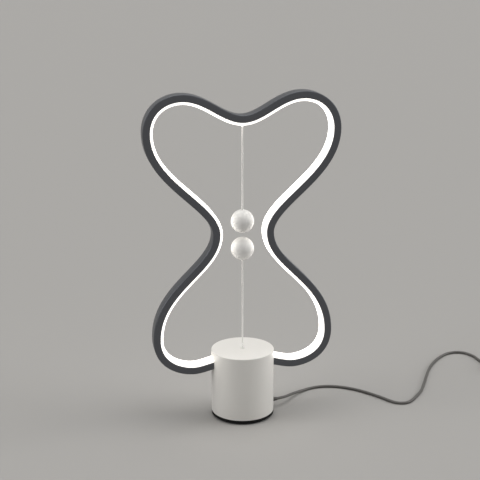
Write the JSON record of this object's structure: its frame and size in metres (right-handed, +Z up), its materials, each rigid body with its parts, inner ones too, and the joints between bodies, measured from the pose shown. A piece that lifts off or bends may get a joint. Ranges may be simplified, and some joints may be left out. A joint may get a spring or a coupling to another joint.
{
  "type": "magnetic balance lamp",
  "caption": "Table lamp with a glowing butterfly-shaped frame on a round base; two magnetic balls on cords, drawn together, pull the hidden switch.",
  "frame": {"origin": "middle of the base on the table, which is the bottom centre of the lamp without its cable", "axes": "+Z up, +X to the right when the lamp is seen from the front, +Y to the back"},
  "size_m": [0.5358, 0.1716, 0.402],
  "materials": {
    "graphite_plastic": "satin graphite coat on a moulded hoop",
    "milky_silicone": "milky diffuser, lit warm white from inside",
    "white_plastic": "fine satin moulded white",
    "white_gloss_plastic": "semi-gloss moulded white",
    "black_plastic": "fine moulded black",
    "black_foam": "closed-cell foam pad",
    "grey_plastic": "plain moulded grey",
    "white_cord": "tightly braided cord",
    "cable_pvc": "soft satin cable jacket",
    "cast_iron": "as cast",
    "steel": "plain plated steel",
    "magnet_nickel": "nickel-plated disc",
    "board_green": "lacquered circuit board",
    "board_white": "white flexible LED board",
    "aluminium": "plain aluminium"
  },
  "bodies": {
    "lamp_base": {"ring_channel": "graphite_plastic", "diffuser": "milky_silicone", "led_strip": "board_white", "ring_end_block_right": "aluminium", "ring_end_block_left": "aluminium", "base_shell": "white_plastic", "bottom_cover": "black_plastic", "foot_pad": "black_foam", "base_screw_1": "steel", "base_screw_2": "steel", "base_screw_3": "steel", "weight_screw": "steel", "counterweight": "cast_iron", "cord_eyelet": "white_plastic", "inner_frame": "grey_plastic", "frame_screw_back": "steel", "frame_screw_front": "steel", "ring_screw_right": "steel", "ring_screw_left": "steel", "return_spring": "steel", "lever_pin": "steel", "micro_switch": "black_plastic", "control_board": "board_green", "board_screw_right_front": "steel", "board_screw_right_back": "steel", "board_screw_left_front": "steel", "board_screw_left_back": "steel", "capacitor": "aluminium", "power_socket": "white_plastic", "strip_socket": "white_plastic", "inner_power_lead": "cable_pvc", "strip_lead": "cable_pvc", "cord_anchor": "white_plastic", "cable_gland": "cable_pvc", "power_cable": "cable_pvc", "cable_coil": "cable_pvc", "cable_tail": "cable_pvc", "cable_tie": "black_plastic", "usb_plug_grip": "cable_pvc", "usb_plug_shell": "steel", "usb_plug_tongue": "white_plastic"},
    "upper_knot": {"upper_cord_knot": "white_cord"},
    "upper_ball": {"upper_cord": "white_cord", "upper_ball_cap": "white_gloss_plastic", "upper_ball_cup": "white_gloss_plastic", "upper_magnet": "magnet_nickel", "upper_crimp": "steel"},
    "plunger": {"pull_plunger": "grey_plastic", "lower_cord_end": "white_cord"},
    "lever": {"switch_lever": "steel"},
    "button": {"switch_button": "grey_plastic"},
    "lower_knot": {"lower_cord_knot": "white_cord"},
    "lower_ball": {"lower_cord": "white_cord", "lower_ball_cap": "white_gloss_plastic", "lower_ball_cup": "white_gloss_plastic", "lower_magnet": "magnet_nickel", "lower_crimp": "steel"}
  },
  "joints": [
    {"name": "upper_fore_aft", "type": "hinge", "parent": "lamp_base", "child": "upper_knot", "pos_m": [0, 0, 0.3618], "axis": [1, 0, 0], "range_deg": [-60, 60]},
    {"name": "upper_sideways", "type": "hinge", "parent": "upper_knot", "child": "upper_ball", "pos_m": [0, 0, 0.3618], "axis": [0, 1, 0], "range_deg": [-5.5, 5.5]},
    {"name": "cord_pull", "type": "slide", "parent": "lamp_base", "child": "plunger", "axis": [0, 0, 1], "range_m": [-0.003, 0], "stiffness_N_per_m": 150, "springref_m": 0.004, "deforming": ["return_spring"]},
    {"name": "lever_turn", "type": "hinge", "parent": "lamp_base", "child": "lever", "pos_m": [-0.01, 0, 0.044], "axis": [0, 1, 0], "range_deg": [0, 20.7]},
    {"name": "button_press", "type": "slide", "parent": "lamp_base", "child": "button", "axis": [0, 0, 1], "range_m": [-0.00181, 0]},
    {"name": "lower_fore_aft", "type": "hinge", "parent": "plunger", "child": "lower_knot", "pos_m": [0, 0, 0.0906], "axis": [1, 0, 0], "range_deg": [-85, 85], "stiffness_Nm_per_rad": 0.06},
    {"name": "lower_sideways", "type": "hinge", "parent": "lower_knot", "child": "lower_ball", "pos_m": [0, 0, 0.0906], "axis": [0, 1, 0], "range_deg": [-5.5, 5.5], "stiffness_Nm_per_rad": 0.06}
  ],
  "couplings": [
    {"joint": "lever_turn", "follows": "cord_pull", "rad_per_m": -120},
    {"joint": "button_press", "follows": "cord_pull", "ratio": 0.6}
  ]
}
